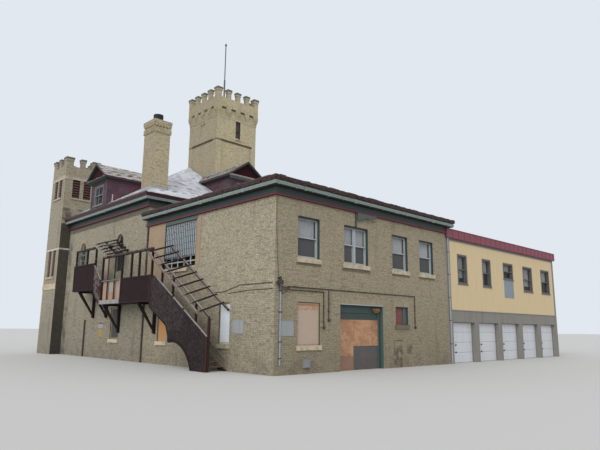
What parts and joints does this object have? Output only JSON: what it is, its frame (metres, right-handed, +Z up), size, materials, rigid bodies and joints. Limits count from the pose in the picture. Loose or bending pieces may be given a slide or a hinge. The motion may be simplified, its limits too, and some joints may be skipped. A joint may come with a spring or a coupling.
{
  "type": "fire station building",
  "caption": "Buff brick fire station with a hipped main block, battlemented hose tower and corner turret, a garage wing and a timber fire escape.",
  "frame": {"origin": "outer corner of the rear wing where its rear wall meets the side wall with the fire escape, at ground level", "axes": "+Z up, +X along the rear wall towards the garage wing, +Y along the side wall towards the street front"},
  "size_m": [27.62, 23.27, 22.05],
  "materials": {
    "box_grey": "grey enamel",
    "buff_brick": "weathered buff brickwork",
    "chimney_brick": "weathered buff brickwork",
    "concrete_floor": "bare concrete",
    "cream_panel": "cream facing panels and grey render",
    "dark_pot": "soot-dark pot",
    "dormer_boarding": "weathered purple-grey boarding",
    "dormer_shingle": "patched rusty shingles",
    "dressed_stone": "weathered dressed stone",
    "escape_timber": "weathered dark brown timber",
    "fascia_red": "dull red sheet",
    "garage_door_white": "white sectional doors",
    "glass": "dark window glass",
    "grey_render": "weathered grey render",
    "gutter_green": "chalky pale green paint",
    "pipe_metal": "weathered painted pipe",
    "plywood": "weathered plywood",
    "pole_paint": "pale painted pole",
    "red_crown": "flaking dark red paint",
    "roof_shingle": "pale weathered shingles",
    "screen_metal": "pale corrugated sheet",
    "teal_paint": "flat dark teal paint",
    "window_paint": "pale grey painted sashes"
  },
  "bodies": {
    "root": {"arched_windows": "window_paint", "boarded_windows": "plywood", "chimney": "chimney_brick", "chimney_pot": "dark_pot", "conduits": "pipe_metal", "doorway_boards": "plywood", "doorway_frame": "teal_paint", "dormer_roofs": "dormer_shingle", "dormer_trim": "teal_paint", "dormer_walls": "dormer_boarding", "escape_brackets": "escape_timber", "escape_canopies": "escape_timber", "escape_decks": "escape_timber", "escape_frame": "escape_timber", "escape_panels": "escape_timber", "flagpole": "pole_paint", "friezes": "teal_paint", "garage_back_wall": "grey_render", "garage_doors": "garage_door_white", "garage_end_wall": "grey_render", "garage_facings": "cream_panel", "garage_fascia": "fascia_red", "garage_front_wall": "grey_render", "garage_panel": "box_grey", "garage_roof": "concrete_floor", "garage_sills": "window_paint", "ground_floors": "concrete_floor", "hose_tower": "buff_brick", "hose_tower_battlements": "buff_brick", "main_eaves": "gutter_green", "main_front_wall": "buff_brick", "main_hip_roof": "roof_shingle", "main_rear_wall": "buff_brick", "main_right_wall": "buff_brick", "main_roof_edge": "red_crown", "main_side_wall": "buff_brick", "meter_box": "box_grey", "notice_plates": "box_grey", "sash_windows": "window_paint", "screened_window": "screen_metal", "stair_rails": "escape_timber", "stair_stringers": "escape_timber", "stair_treads": "escape_timber", "stone_sills": "dressed_stone", "tower_caps": "dressed_stone", "tower_decks": "concrete_floor", "tower_stonework": "dressed_stone", "turret": "buff_brick", "turret_battlements": "buff_brick", "turret_louvres": "teal_paint", "upper_floors": "concrete_floor", "wall_lamp": "box_grey", "wall_pipes": "pipe_metal", "window_glass": "glass", "wing_eaves": "gutter_green", "wing_rear_wall": "buff_brick", "wing_right_wall": "buff_brick", "wing_roof": "red_crown", "wing_side_wall": "buff_brick"}
  },
  "joints": []
}
